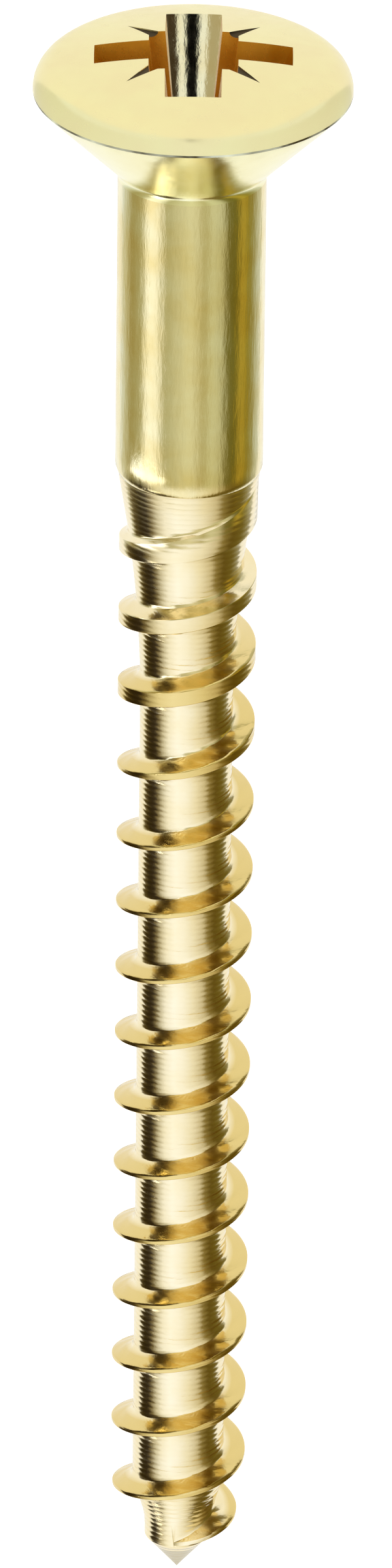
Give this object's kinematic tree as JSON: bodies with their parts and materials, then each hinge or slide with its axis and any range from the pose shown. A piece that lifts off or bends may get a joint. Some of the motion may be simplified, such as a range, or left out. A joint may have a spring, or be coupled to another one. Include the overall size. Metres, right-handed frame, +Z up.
{
  "type": "oval head wood screw",
  "caption": "Solid brass oval head wood screw with a cross recess, plain shank, single right-hand wood thread that runs out onto the shank, and a short conical point",
  "frame": {"origin": "centre of the part's footprint, on the surface that the screw lies on", "axes": "+Y runs along the screw as it lies, from the point to the head; +Z is up; +X is to the right of the upright picture, seen from above with the head at the top"},
  "size_m": [0.0075, 0.041, 0.0075],
  "materials": {
    "brass": "bright, lightly polished, with fine cutting marks in the thread"
  },
  "bodies": {
    "root": {"screw": "brass"}
  },
  "joints": []
}
